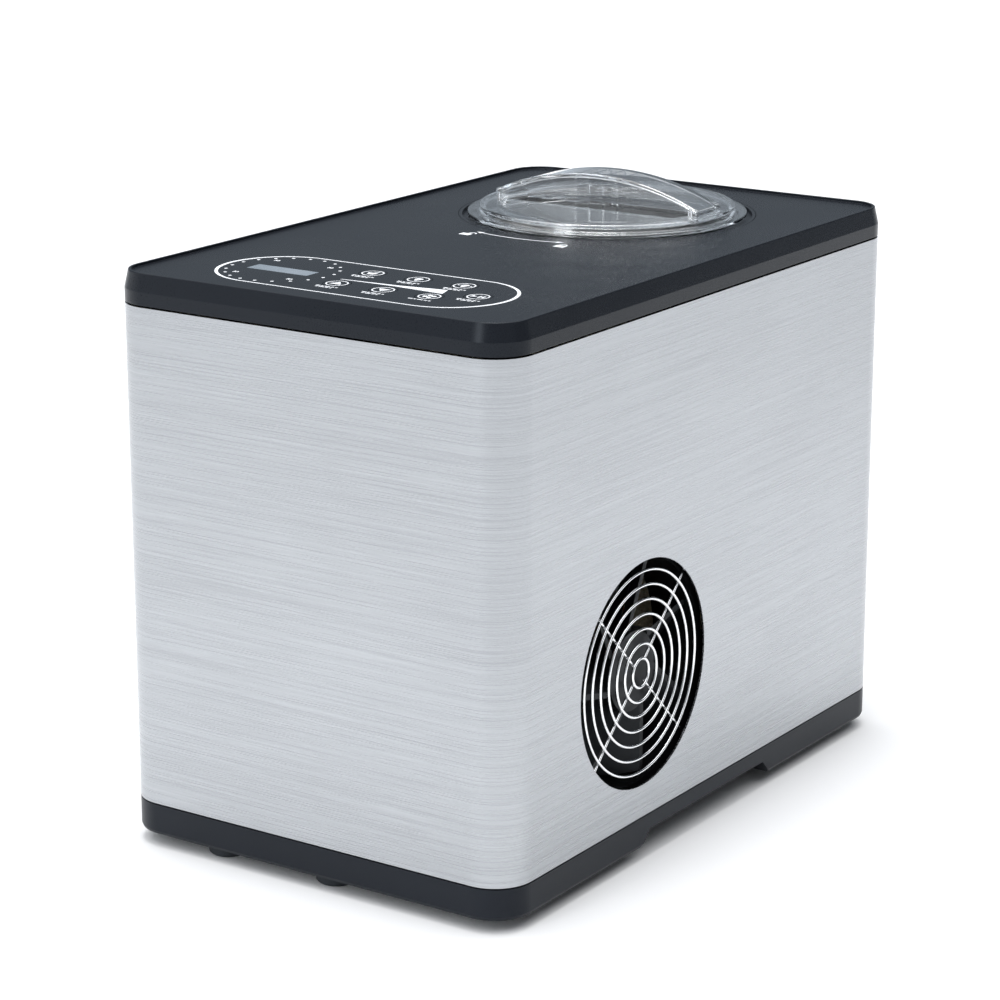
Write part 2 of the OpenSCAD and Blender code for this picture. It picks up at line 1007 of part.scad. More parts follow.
module power_inlet() {
    color([0.07, 0.07, 0.08])
    difference() {
        union() {
            translate([inlet_x - 13.8, -front_y - 24, 40.2])
                cube([27.6, 24, 21.6]);
            translate([inlet_x - 22, -front_y - sheet_t - 2.1, 38])
                cube([44, 2, 26]);
        }
        translate([inlet_x - 11.5, -front_y - 16, 42.5])
            cube([23, 20, 17]);
        for (s = [-1, 1])
            translate([inlet_x + s * 18.5, -front_y, 51])
                rotate([90, 0, 0])
                    cylinder(r = 1.6, h = 10);
    }
    color([0.75, 0.76, 0.78])
    for (p = [[-6, 49], [6, 49], [0, 54]])
        translate([inlet_x + p[0] - 1, -front_y - 17, p[1] - 2])
            cube([2, 13, 4]);
}

module inlet_screws() {
    color([0.75, 0.76, 0.78])
    for (s = [-1, 1])
        translate([inlet_x + s * 18.5, -front_y - sheet_t - 2.2, 51])
            rotate([90, 0, 0])
                screw(2.8, 1.6, 1.4, 2);
}

module wiring_loom() {
    color([0.1, 0.1, 0.11])
    pipe([
        [106, 60, 22], [106, -150, 22], [106, -150, 266], [60, -150, 266], [60, -150, 271.8]
    ], 2.5);
}

// ---- bowl, paddle and lid ----

module bowl() {
    color([0.78, 0.79, 0.8])
    union() {
        bowl_ring(bowl_r - bowl_t, bowl_r, bowl_z, rim_z + 0.1);
        bowl_ring(bowl_r - bowl_t, 68, rim_z, rim_top);
        bowl_ring(tunnel_ri, bowl_r, bowl_z, bowl_z + 1.6);
        bowl_ring(tunnel_ri, tunnel_ro, bowl_z, tunnel_top);
    }
}

// One blade frame of the paddle, reaching out along +X.
module paddle_arm(reach, height) {
    translate([9, -2, bowl_z + 3])
        cube([reach - 9, 4, 10]);
    translate([9, -2, bowl_z + height - 10])
        cube([reach - 9, 4, 10]);
    translate([reach - 10, -2, bowl_z + 3])
        cube([10, 4, height - 3]);
}

module paddle() {
    color([0.93, 0.93, 0.92])
    translate([0, by, 0])
        difference() {
            union() {
                translate([0, 0, bowl_z + 3])
                    cylinder(r = 12, h = 258 - bowl_z - 3);
                paddle_arm(63, 110);
                rotate([0, 0, 180])
                    paddle_arm(63, 80);
            }
            translate([0, 0, bowl_z])
                cylinder(r = tunnel_ro + 0.6, h = tunnel_top + 0.6 - bowl_z);
            translate([-3.8, -3.8, tunnel_top - 1])
                cube([7.6, 7.6, 12]);
        }
}

module lid_seal() {
    color([0.82, 0.83, 0.84])
    bowl_ring(62.5, 67.6, seal_z, seal_top);
}

// The solid under the lid's arched grip, drawn in by inset.
module arch(inset, z0) {
    intersection() {
        translate([0, by, lid_z + grip_top - drum_z - arch_r])
            rotate([90, 0, 0])
                cylinder(r = arch_r - inset, h = arch_w - 2 * inset, center = true, $fn = 360);
        translate([-61 + inset, by - arch_w, z0])
            cube([122 - 2 * inset, 2 * arch_w, 60]);
    }
}

module lid() {
    color([0.85, 0.88, 0.9, 0.4]) {
        bowl_ring(drum_r - 0.5, flange_r, panel_z + 0.3, panel_z + 1.9);
        bowl_ring(drum_r - lid_t, drum_r, panel_z + 0.3, lid_z);
        bowl_ring(65.6, 68, skirt_z, panel_z + 1.9);
        difference() {
            union() {
                bowl_ring(sunk_r, drum_r, lid_z - lid_t, lid_z);
                bowl_ring(sunk_r, sunk_r + 1.8, lid_z - 4.2, lid_z);
                translate([0, by, lid_z - 4.2])
                    cylinder(r = sunk_r + 1, h = 2, $fn = 180);
                arch(0, lid_z - 3);
                for (x = [-1, 1], y = [-1, 1])
                    translate([x * 58.5, by + y * (arch_w / 2 - 0.6), lid_z - 1])
                        cylinder(r = 2.6, h = 4.6);
            }
            arch(lid_t, 270);
        }
        for (x = [-12.75, -4.25, 4.25, 12.75])
            intersection() {
                translate([x - 0.6, by - arch_w / 2 + 1, lid_z - 4.2])
                    cube([1.2, arch_w - 2, 40]);
                arch(0.5, 270);
            }
        for (a = lug_angles)
            translate([0, by, 0])
                rotate([0, 0, a])
                    intersection() {
                        translate([66.5, -8, skirt_z + 0.1])
                            cube([6, 16, 1.5]);
                        cylinder(r = 71, h = 400, $fn = 180);
                    }
    }
}

base_tray();
rubber_feet();
base_screws();
steel_wrap();
top_cover();
cover_screws();
bowl_collar();
collar_screws();
panel_overlay();
display_window();
display_module();
control_board();
key_switches();
board_screws();
key_mix_only();
key_soft();
key_firm();
key_time_up();
key_time_down();
key_stir();
key_start();
fan_guard();
fan_guard_screws();
fan_frame();
fan_rotor();
condenser_fins();
condenser_tube();
compressor_shell();
compressor_plate();
compressor_grommets();
compressor_bolts();
discharge_line();
liquid_line();
filter_drier();
capillary_tube();
suction_line();
evaporator_coil();
cooling_well();
well_gasket();
insulation_foam();
well_frame();
well_bush();
gearbox_housing();
gearbox_cover();
gearbox_screws();
output_gear();
drive_shaft();
idler_gear();
motor_pinion();
stir_motor();
motor_bracket();
power_board();
power_inlet();
inlet_screws();
wiring_loom();
bowl();
paddle();
lid_seal();
lid();
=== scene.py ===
"""Looks of the counter-top ice cream maker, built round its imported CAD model.

The frame is the CAD part: front -Y, fan grille +X, up +Z, in metres.
Sizes below are in millimetres and are turned into metres where meshes are made.
"""

import json
import math

import bmesh
import bpy
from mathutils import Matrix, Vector
from mathutils.geometry import tessellate_polygon

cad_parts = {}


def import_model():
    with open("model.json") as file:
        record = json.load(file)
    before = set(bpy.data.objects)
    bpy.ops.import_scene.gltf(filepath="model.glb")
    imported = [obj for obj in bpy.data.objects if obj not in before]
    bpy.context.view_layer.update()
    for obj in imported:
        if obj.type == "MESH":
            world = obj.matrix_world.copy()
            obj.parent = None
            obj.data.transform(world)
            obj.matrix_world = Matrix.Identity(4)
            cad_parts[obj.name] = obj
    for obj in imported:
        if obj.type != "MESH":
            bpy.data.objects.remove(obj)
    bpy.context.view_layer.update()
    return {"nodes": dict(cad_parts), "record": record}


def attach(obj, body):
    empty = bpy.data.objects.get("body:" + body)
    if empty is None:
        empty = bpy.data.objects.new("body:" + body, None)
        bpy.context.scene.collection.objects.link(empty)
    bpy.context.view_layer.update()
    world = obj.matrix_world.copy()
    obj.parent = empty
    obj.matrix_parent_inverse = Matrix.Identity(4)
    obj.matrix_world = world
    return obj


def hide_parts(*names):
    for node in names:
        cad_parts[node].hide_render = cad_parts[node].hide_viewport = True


MM = 0.001

# The case, as the CAD model has it: width, length, corner radius and heights.
CASE_W = 228.0
CASE_L = 364.0
CORNER_R = 20.0
STEEL_Z = 22.0
COVER_Z = 272.0
TOP_Z = 287.7
PANEL_Z = 286.4
UNDER_Z = 281.4
# The gap between the cover and the steel.
GAP = 0.4
# The painted shadow of the gap between the steel and the tray ends this far above STEEL_Z.
GAP_SHADE_H = 0.8

# The cover's edge from its foot to its sunken top: inset, height and corner radius.
COVER_PROFILE = (
    (3.0, COVER_Z + GAP, 0),
    (0.0, COVER_Z + GAP, 0.45),
    (0.0, COVER_Z + 7.0, 1.0),
    (2.0, TOP_Z, 0.6),
    (3.5, TOP_Z, 0.35),
    (3.5, PANEL_Z, 0.3),
    (5.0, PANEL_Z, 0),
)
COVER_WALL = 3.0

# The control panel, with its display window and its keys.
PANEL_Y = -130.8
PANEL_END = 48.3
PANEL_R = 32.0
OVERLAY_T = 0.6
WINDOW_X = -48.0
WINDOW_Y = PANEL_Y - 0.6
WINDOW_L = 35.6
WINDOW_W = 9.9
WINDOW_PLAY = 0.2
KEY_R = 6.6
KEY_GAP = 0.3
# Each key's place: across, and away from the panel's middle line.
KEYS = {
    "key_mix_only": (-7.9, 17.0),
    "key_soft": (18.4, 17.0),
    "key_firm": (44.6, 17.0),
    "key_time_up": (-7.9, -11.2),
    "key_time_down": (18.6, -11.2),
    "key_stir": (44.6, -11.2),
    "key_start": (63.5, 0.6),
}

# The lid's axis, and the radius of the opening for its collar.
LID_Y = 81.5
COLLAR_R = 77.4

# The lid's round body, from its top down and back: radius, height and corner radius.
LID_PROFILE = (
    (0.0, 289.8, 0),
    (55.0, 289.8, 0.7),
    (55.0, 292.0, 0.6),
    (66.2, 292.0, 0.9),
    (66.2, 288.3, 0.6),
    (72.6, 288.3, 0.5),
    (72.6, 286.7, 0.4),
    (68.0, 286.7, 0.3),
    (68.0, 281.2, 0.4),
    (65.6, 281.2, 0.4),
    (65.6, 286.7, 0.0),
    (64.2, 286.7, 0.3),
    (64.2, 290.0, 0.7),
    (56.8, 290.0, 0.5),
    (56.8, 287.8, 0.4),
    (0.0, 287.8, 0),
)
# Faces round the lid and the opening for it.
LID_TURNS = 144

# The lid's grip: the arch's radius and centre height, its half sizes, its wall and its foot.
ARCH_R = 147.0
ARCH_Z = 161.25
ARCH_X = 61.0
ARCH_Y = 12.0
ARCH_WALL = 2.0
ARCH_FOOT = 288.6
ARCH_STEPS = 48
# The arch's outer and inner skins: inset, edge radius and length of the rounded ends.
ARCH_OUTSIDE = (0.0, 1.4, 0.9)
ARCH_INSIDE = (ARCH_WALL, 0.8, 0.4)
# At an end, a skin's second section lies at this share of the end's length and drop.
END_SHARE = 0.3
# A skin is drawn in at its sides by this share of its drop.
SIDE_SHARE = 0.4
# The opening under the grip: its margin inside the arch, and its lowest and highest point.
OPENING_MARGIN = 2.2
OPENING_Z = (280, 293)
# The plates across the grip: places, thickness, drop below the arch's foot, and overlap.
RIB_X = (-12.75, -4.25, 4.25, 12.75)
RIB_T = 1.2
RIB_DROP = 0.7
RIB_OVERLAP = 0.3
# The posts at the grip's corners: places, and profile as radius, height and corner radius.
POST_X = 58.5
POST_Y = 11.4
POST_PROFILE = ((0, 295.6, 0), (2.6, 295.6, 0.7), (2.6, 290.9, 0), (0, 290.9, 0))
# The lugs that lock the lid: bearings, half angle, inner and outer radius, and heights.
LUG_TURNS = (90, 210, 330)
LUG_HALF = 6.5
LUG_R = (67.2, 71.0)
LUG_Z = (281.3, 282.8)

# The print stands a hair proud of the film.
INK_LOW = PANEL_Z - 0.02
INK_HIGH = PANEL_Z + 0.04
# The outline's two edges, as what is added to the panel's half length and radius.
OUTLINE = ((0.7, -0.1), (-0.1, -1.1))
# The dial: its middle, and the places and sizes of its dots and its bar-and-ring marks.
DIAL_X = WINDOW_X - 0.3
DIAL_DOTS = 20
DIAL_R = 27.5
DOT_R = 0.85
MARK_TURNS = (45, 135, 225, 315)
MARK_R = 22.6
MARK_SPREAD = 0.75
MARK_BAR = (0.7, 2.4)
MARK_RING = (0.55, 1.1)
# The tapered bar between the two rows of keys.
POINTER_BAR = (
    (-12.4, -133.6),
    (18.0, -132.6),
    (46.3, -134.2),
    (43.8, -126.1),
    (18.0, -130.4),
    (-12.4, -133.0),
)
# The arc in front of the lid: the bearings of its ends, its edges' radii, and its arrowheads.
LOCK_ARC = (-105, -75)
LOCK_ARC_R = (85.1, 85.9)
ARROW_R = 85.5
ARROW_LENGTH = 4.2
ARROW_HALF = 1.7
# The two padlocks: place, and how far the open one's shackle is swung aside.
PADLOCKS = ((-27.6, -6.6, 2.2), (29.4, -7.6, 0.0))
PADLOCK_BODY = (6.0, 4.4)
PADLOCK_DROP = 1.4
SHACKLE_R = (1.5, 2.4)
SHACKLE_RISE = 1.2
# The white ring on each key: inner and outer radius.
KEY_RING = (4.85, 5.5)
# The dashes that stand for the captions: lengths, place from the key, row step, width and gap.
CAPTION_DASHES = (2.4, 1.3, 3.0, 1.7, 1.2)
CAPTION_X = -6.0
CAPTION_Y = -8.3
CAPTION_STEP = 1.9
CAPTION_W = 1.0
CAPTION_GAP = 0.7

# Steel: how the long and short brush lines are squeezed on each axis, and its colours.
LONG_LINES = (7, 7, 1300)
SHORT_LINES = (36, 36, 2600)
STEEL_DARK = (0.350, 0.361, 0.378)
STEEL_LIGHT = (0.453, 0.469, 0.488)
# Painted shadow: the near-black colour painted along the steel's foot for the gap over the tray.
GAP_SHADE_COLOUR = (0.012, 0.012, 0.014)
# Charcoal plastic, for the case's tray and for its cover and panel.
TRAY_CHARCOAL = (0.0080, 0.0095, 0.0135)
COVER_CHARCOAL = (0.0075, 0.0090, 0.0125)
CHARCOAL_SPECULAR = 0.20
# A cool tint on the plastics' gloss.
GLOSS_TINT = (0.86, 0.93, 1.0)
# The lid's indices are chosen for looks, and are not those of a real plastic.
CLEAR_IOR = 1.12
CLEAR_COAT_IOR = 2.3

# What the studio's walls show, by bearing in degrees: start, end, softness, change in light.
WALL_LIGHTS = (
    (-190, -90, 3, 0.27),
    (-118, -90, 2.5, 0.9),
    (-107, -90, 2.0, 4.0),
    (-90, -2, 4, 0.30),
    (28, 85, 8, -0.06),
    (85, 190, 10, 0.19),
)
# The strength of the bare walls, the ceiling and the white backdrop, and the two tints.
WALL_DARK = 0.10
CEILING = 2.1
BACKDROP = 1.3
WALL_TINT = (0.78, 0.89, 1.0)
WHITE_TINT = (0.985, 0.99, 1.0)
# The pale strip low on the walls and the ceiling's edge, by the sine of their elevation.
HORIZON_EDGE = (0.02, 0.11)
CEILING_EDGE = (0.60, 0.80)
# Where the low strip is darker, by bearing, and by how much.
HORIZON_BAND = (24, 190, 10)
HORIZON_DROP = 0.85
# Where the walls' tint goes towards white, by bearing, and by how much.
FRONT_BAND = (-190, 28, 8)
FRONT_WHITE = 0.75
# The backdrop's share in what clear pieces show after a reflection.
THROUGH_SHARE = 0.2

# The floor is a hair below the feet, so that their undersides don't share its plane.
FLOOR_Z = -0.0001
FLOOR_HALF = 6.0
# The lamps: name, place, what they point at, size and watts.
LAMPS = (
    ("overhead", (-0.1, 0.0, 2.1), (0, 0, 0.1), (0.7, 0.9), 18),
    ("side", (-1.9, -1.4, 1.1), (0, 0, 0.15), (1.4, 1.4), 4),
)
# The camera: lens, place, degrees below level and degrees round from the front.
LENS = 112.46
CAMERA_PLACE = (0.8505, -1.2815, 0.5812)
CAMERA_DOWN = 15.66
CAMERA_ROUND = 33.95


# ---- shader helpers ----


def new_material(name):
    """A material, its node tree and its Principled shader."""
    mat = bpy.data.materials.new(name)
    mat.use_nodes = True
    return mat, mat.node_tree, mat.node_tree.nodes["Principled BSDF"]


def coords(tree, scale):
    """Object coordinates, scaled on each axis."""
    source = tree.nodes.new("ShaderNodeTexCoord")
    mapping = tree.nodes.new("ShaderNodeMapping")
    mapping.inputs["Scale"].default_value = scale
    tree.links.new(source.outputs["Object"], mapping.inputs["Vector"])
    return mapping.outputs["Vector"]


def noise(tree, scale, stretch=(1, 1, 1), detail=3.0, roughness=0.5):
    """A noise texture on stretched object coordinates."""
    tex = tree.nodes.new("ShaderNodeTexNoise")
    tex.inputs["Scale"].default_value = scale
    tex.inputs["Detail"].default_value = detail
    tex.inputs["Roughness"].default_value = roughness
    tree.links.new(coords(tree, stretch), tex.inputs["Vector"])
    return tex.outputs["Fac"]


def remap(tree, value, low, high, start=0.3, end=0.7):
    """A value between start and end, spread from low to high."""
    step = tree.nodes.new("ShaderNodeMapRange")
    step.inputs["From Min"].default_value = start
    step.inputs["From Max"].default_value = end
    step.inputs["To Min"].default_value = low
    step.inputs["To Max"].default_value = high
    tree.links.new(value, step.inputs["Value"])
    return step.outputs["Result"]


def colours(tree, value, dark, light, start=0.3, end=0.7):
    """A ramp from one colour to another."""
    ramp = tree.nodes.new("ShaderNodeValToRGB")
    ramp.color_ramp.elements[0].position = start
    ramp.color_ramp.elements[0].color = (*dark, 1)
    ramp.color_ramp.elements[1].position = end
    ramp.color_ramp.elements[1].color = (*light, 1)
    tree.links.new(value, ramp.inputs["Fac"])
    return ramp.outputs["Color"]


def average(tree, a, b, share=0.5):
    """A blend of two values."""
    mix = tree.nodes.new("ShaderNodeMix")
    mix.data_type = "FLOAT"
    mix.inputs["Factor"].default_value = share
    tree.links.new(a, mix.inputs["A"])
    tree.links.new(b, mix.inputs["B"])
    return mix.outputs["Result"]


def above(tree, height):
    """1 above a height in metres and 0 below it."""
    parts = tree.nodes.new("ShaderNodeSeparateXYZ")
    tree.links.new(coords(tree, (1, 1, 1)), parts.inputs["Vector"])
    step = tree.nodes.new("ShaderNodeMath")
    step.operation = "GREATER_THAN"
    step.inputs[1].default_value = height
    tree.links.new(parts.outputs["Z"], step.inputs[0])
    return step.outputs[0]


def bump(tree, shader, height, distance, strength=1.0):
    """Bump from a height, at a real depth in metres."""
    step = tree.nodes.new("ShaderNodeBump")
    step.inputs["Distance"].default_value = distance
    step.inputs["Strength"].default_value = strength
    tree.links.new(height, step.inputs["Height"])
    tree.links.new(step.outputs["Normal"], shader.inputs["Normal"])


def tint(colour, factor):
    """A colour made lighter or darker."""
    return tuple(min(1.0, c * factor) for c in colour)


# ---- materials ----


def brushed_steel(name):
    """Steel sheet with long horizontal brush lines, and a dark line of painted shadow along its
    foot for the gap over the tray.
    """
    mat, tree, shader = new_material(name)
    long_lines = noise(tree, 1.0, LONG_LINES, 3.0, 0.6)
    short_lines = noise(tree, 1.0, SHORT_LINES, 3.0, 0.6)
    clouds = noise(tree, 9.0, (1, 1, 1.4), 2.0)
    lines = average(tree, long_lines, short_lines, 0.42)
    tone = average(tree, lines, clouds, 0.12)
    colour = colours(tree, tone, STEEL_DARK, STEEL_LIGHT, 0.36, 0.64)
    # Painted shadow: the steel's lowest strip is painted near black where the gap over the tray
    # lies in shade.
    gap_shade = tree.nodes.new("ShaderNodeMix")
    gap_shade.data_type = "RGBA"
    gap_shade.inputs["A"].default_value = (*GAP_SHADE_COLOUR, 1)
    tree.links.new(colour, gap_shade.inputs["B"])
    tree.links.new(above(tree, (STEEL_Z + GAP_SHADE_H) * MM), gap_shade.inputs["Factor"])
    tree.links.new(gap_shade.outputs["Result"], shader.inputs["Base Color"])
    tree.links.new(remap(tree, lines, 0.22, 0.34), shader.inputs["Roughness"])
    shader.inputs["Metallic"].default_value = 1.0
    bump(tree, shader, lines, 0.00002, 0.5)
    return mat


def moulded_plastic(name, colour, rough, specular=0.5, grain=1800.0, depth=0.000012):
    """Moulded plastic with a fine grain and slight changes in tone."""
    mat, tree, shader = new_material(name)
    fine = noise(tree, grain, detail=2.0)
    broad = noise(tree, 14.0, detail=2.0)
    tone = colours(tree, broad, tint(colour, 0.92), tint(colour, 1.08))
    tree.links.new(tone, shader.inputs["Base Color"])
    tree.links.new(
        remap(tree, average(tree, fine, broad), rough - 0.05, rough + 0.05),
        shader.inputs["Roughness"],
    )
    shader.inputs["Specular IOR Level"].default_value = specular
    shader.inputs["Specular Tint"].default_value = (*GLOSS_TINT, 1)
    bump(tree, shader, fine, depth, 0.6)
    return mat


def metal(name, colour, rough, spread=0.08, scale=120.0):
    """Bare or plated metal with smudged gloss."""
    mat, tree, shader = new_material(name)
    smudge = noise(tree, scale, detail=4.0, roughness=0.6)
    tone = colours(tree, smudge, tint(colour, 0.9), tint(colour, 1.05))
    tree.links.new(tone, shader.inputs["Base Color"])
    tree.links.new(
        remap(tree, smudge, rough, rough + spread), shader.inputs["Roughness"]
    )
    shader.inputs["Metallic"].default_value = 1.0
    bump(tree, shader, smudge, 0.00002, 0.3)
    return mat


def clear_plastic(name):
    """Clear moulded plastic with faint flow marks."""
    mat, tree, shader = new_material(name)
    flow = noise(tree, 30.0, detail=2.0)
    tone = colours(tree, flow, (0.93, 0.945, 0.955), (0.97, 0.975, 0.98))
    tree.links.new(tone, shader.inputs["Base Color"])
    tree.links.new(remap(tree, flow, 0.006, 0.02), shader.inputs["Roughness"])
    shader.inputs["Transmission Weight"].default_value = 1.0
    shader.inputs["IOR"].default_value = CLEAR_IOR
    shader.inputs["Coat Weight"].default_value = 1.0
    shader.inputs["Coat IOR"].default_value = CLEAR_COAT_IOR
    shader.inputs["Coat Roughness"].default_value = 0.02
    bump(tree, shader, flow, 0.00001, 0.1)
    return mat


def soft_rubber(name, colour, rough=0.62):
    """Matt rubber with a fine tooth."""
    return moulded_plastic(name, colour, rough, specular=0.35, grain=900.0, depth=0.00004)


def foam(name):
    """Cut foam with open cells."""
    mat, tree, shader = new_material(name)
    cells = tree.nodes.new("ShaderNodeTexVoronoi")
    cells.inputs["Scale"].default_value = 600.0
    tree.links.new(coords(tree, (1, 1, 1)), cells.inputs["Vector"])
    tone = colours(
        tree, cells.outputs["Distance"], (0.62, 0.56, 0.40), (0.85, 0.80, 0.64), 0.0, 0.6
    )
    tree.links.new(tone, shader.inputs["Base Color"])
    shader.inputs["Roughness"].default_value = 0.9
    bump(tree, shader, cells.outputs["Distance"], 0.0005, 0.6)
    return mat


def print_ink(name):
    """Screen-printed ink with a slightly uneven coat."""
    mat, tree, shader = new_material(name)
    coat = noise(tree, 900.0, detail=3.0)
    tone = colours(tree, coat, (0.74, 0.76, 0.79), (0.86, 0.875, 0.90))
    tree.links.new(tone, shader.inputs["Base Color"])
    tree.links.new(remap(tree, coat, 0.42, 0.56), shader.inputs["Roughness"])
    return mat


def display_glass(name):
    """The display's smoked window over its grey panel."""
    mat, tree, shader = new_material(name)
    haze = noise(tree, 60.0, detail=2.0)
    tone = colours(tree, haze, (0.20, 0.235, 0.27), (0.235, 0.27, 0.31))
    tree.links.new(tone, shader.inputs["Base Color"])
    tree.links.new(remap(tree, haze, 0.16, 0.24), shader.inputs["Roughness"])
    return mat


def circuit_board(name):
    """Green solder mask over faint copper tracks."""
    mat, tree, shader = new_material(name)
    tracks = tree.nodes.new("ShaderNodeTexBrick")
    tracks.inputs["Scale"].default_value = 220.0
    tracks.inputs["Color1"].default_value = (0.010, 0.085, 0.035, 1)
    tracks.inputs["Color2"].default_value = (0.014, 0.110, 0.045, 1)
    tracks.inputs["Mortar"].default_value = (0.030, 0.170, 0.070, 1)
    tree.links.new(coords(tree, (1, 1, 1)), tracks.inputs["Vector"])
    tree.links.new(tracks.outputs["Color"], shader.inputs["Base Color"])
    shader.inputs["Roughness"].default_value = 0.35
    return mat


def make_materials():
    """One Blender material for each of the record's material slots."""
    gloss = CHARCOAL_SPECULAR
    return {
        "case_plastic": moulded_plastic("case_plastic", TRAY_CHARCOAL, 0.38, gloss),
        "cover_plastic": moulded_plastic("cover_plastic", COVER_CHARCOAL, 0.28, gloss),
        "panel_film": moulded_plastic("panel_film", COVER_CHARCOAL, 0.28, gloss, 2600.0, 0.000006),
        "panel_ink": print_ink("panel_ink"),
        "display_clear": display_glass("display_clear"),
        "display_body": moulded_plastic("display_body", (0.10, 0.12, 0.13), 0.5),
        "circuit_board": circuit_board("circuit_board"),
        "switch_black": moulded_plastic("switch_black", (0.02, 0.02, 0.022), 0.4),
        "rubber_black": soft_rubber("rubber_black", (0.020, 0.022, 0.026)),
        "screw_steel": metal("screw_steel", (0.66, 0.67, 0.69), 0.22),
        "case_steel": brushed_steel("case_steel"),
        "guard_wire": metal("guard_wire", (0.86, 0.87, 0.88), 0.10, 0.06, 400.0),
        "fan_plastic": moulded_plastic("fan_plastic", (0.004, 0.004, 0.0045), 0.40, 0.25),
        "fin_aluminium": metal("fin_aluminium", (0.80, 0.81, 0.82), 0.32),
        "copper_pipe": metal("copper_pipe", (0.72, 0.38, 0.22), 0.26, 0.14, 90.0),
        "compressor_black": moulded_plastic("compressor_black", (0.014, 0.014, 0.016), 0.35),
        "zinc_sheet": metal("zinc_sheet", (0.58, 0.60, 0.62), 0.38, 0.12, 45.0),
        "foam_cream": foam("foam_cream"),
        "silicone_grey": soft_rubber("silicone_grey", (0.075, 0.080, 0.088), 0.45),
        "gear_plastic": moulded_plastic("gear_plastic", (0.80, 0.78, 0.70), 0.42),
        "gearbox_grey": moulded_plastic("gearbox_grey", (0.12, 0.125, 0.13), 0.5),
        "motor_grey": metal("motor_grey", (0.52, 0.54, 0.56), 0.34, 0.1, 80.0),
        "inlet_black": moulded_plastic("inlet_black", (0.012, 0.012, 0.014), 0.40),
        "loom_black": soft_rubber("loom_black", (0.015, 0.015, 0.017), 0.5),
        "bowl_aluminium": metal("bowl_aluminium", (0.56, 0.57, 0.58), 0.30, 0.10, 160.0),
        "paddle_white": moulded_plastic("paddle_white", (0.82, 0.83, 0.84), 0.38),
        "lid_clear": clear_plastic("lid_clear"),
    }


# ---- mesh helpers ----


def make_piece(name, mesh, body, material):
    """An object from a bmesh in millimetres, riding on a body."""
    bmesh.ops.scale(mesh, vec=(MM, MM, MM), verts=mesh.verts)
    bmesh.ops.recalc_face_normals(mesh, faces=mesh.faces)
    data = bpy.data.meshes.new(name)
    mesh.to_mesh(data)
    mesh.free()
    obj = bpy.data.objects.new(name, data)
    bpy.context.scene.collection.objects.link(obj)
    data.materials.append(material)
    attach(obj, body)
    return obj


def circle_points(x, y, r, n=48, start=0.0, sweep=360.0):
    """Points on a circle, or on an arc with both its ends."""
    count = n if sweep == 360.0 else n + 1
    return [
        (
            x + r * math.cos(math.radians(start + sweep * i / n)),
            y + r * math.sin(math.radians(start + sweep * i / n)),
        )
        for i in range(count)
    ]


def stadium_points(half, y, r, n=40):
    """The outline of a bar with round ends."""
    right = circle_points(half, y, r, n, -90, 180)
    left = circle_points(-half, y, r, n, 90, 180)
    return right + left


def box_points(x, y, length, width):
    """The corners of a rectangle about a point."""
    a, b = length / 2, width / 2
    return [(x - a, y - b), (x + a, y - b), (x + a, y + b), (x - a, y + b)]


def case_points(inset, n=16):
    """The case's rounded outline, drawn in by inset."""
    r = CORNER_R - inset
    cx, cy = CASE_W / 2 - CORNER_R, CASE_L / 2 - CORNER_R
    points = []
    for sx, sy, start in ((1, 1, 0), (-1, 1, 90), (-1, -1, 180), (1, -1, 270)):
        points += circle_points(sx * cx, sy * cy, r, n, start, 90)
    return points


def add_loop(mesh, points, z):
    """Vertices for a closed line of points at one height."""
    return [mesh.verts.new((x, y, z)) for x, y in points]


def bridge(mesh, low, high):
    """Quads between two loops with the same number of vertices."""
    for i in range(len(low)):
        j = (i + 1) % len(low)
        mesh.faces.new((low[i], low[j], high[j], high[i]))


def flat_face(mesh, outer, holes=()):
    """A flat face between an outer loop and its holes."""
    loops = [outer, *holes]
    corners = [v for loop in loops for v in loop]
    lines = [[v.co for v in loop] for loop in loops]
    for a, b, c in tessellate_polygon(lines):
        if len({a, b, c}) == 3:
            mesh.faces.new((corners[a], corners[b], corners[c]))


def prism(mesh, outer, low, high, holes=()):
    """A closed slab with straight sides and optional holes."""
    bottoms = [add_loop(mesh, loop, low) for loop in (outer, *holes)]
    tops = [add_loop(mesh, loop, high) for loop in (outer, *holes)]
    for bottom, top in zip(bottoms, tops):
        bridge(mesh, bottom, top)
    flat_face(mesh, bottoms[0], bottoms[1:])
    flat_face(mesh, tops[0], tops[1:])


def filleted(points, steps=5):
    """A line of (inset, z, radius) corners, with each corner rounded."""
    line = []
    for i, (x, z, r) in enumerate(points):
        if r <= 0 or i in (0, len(points) - 1):
            line.append((x, z))
            continue
        here = Vector((x, z))
        back = (Vector(points[i - 1][:2]) - here).normalized()
        ahead = (Vector(points[i + 1][:2]) - here).normalized()
        half = back.angle(ahead) / 2
        reach = r / math.tan(half)
        centre = here + (back + ahead).normalized() * (r / math.sin(half))
        start, end = here + back * reach - centre, here + ahead * reach - centre
        turn = start.angle_signed(end)
        for k in range(steps + 1):
            a = -turn * k / steps
            line.append(
                (
                    centre.x + start.x * math.cos(a) - start.y * math.sin(a),
                    centre.y + start.x * math.sin(a) + start.y * math.cos(a),
                )
            )
    return line


def weighted_normals(obj, sharp=40):
    """Smooth shading that keeps large faces flat and true corners sharp."""
    for face in obj.data.polygons:
        face.use_smooth = True
    obj.data.set_sharp_from_angle(angle=math.radians(sharp))
    step = obj.modifiers.new("weighted", "WEIGHTED_NORMAL")
    step.mode = "FACE_AREA_WITH_ANGLE"
    step.weight = 50
    step.keep_sharp = True


def cut(obj, cutter):
    """Takes the cutter's volume out of a piece, and removes the cutter."""
    step = obj.modifiers.new("cut", "BOOLEAN")
    step.operation = "DIFFERENCE"
    step.solver = "EXACT"
    step.object = cutter
    graph = bpy.context.evaluated_depsgraph_get()
    data = bpy.data.meshes.new_from_object(obj.evaluated_get(graph))
    obj.modifiers.clear()
    obj.data = data
    bpy.data.objects.remove(cutter)


# ---- pieces ----


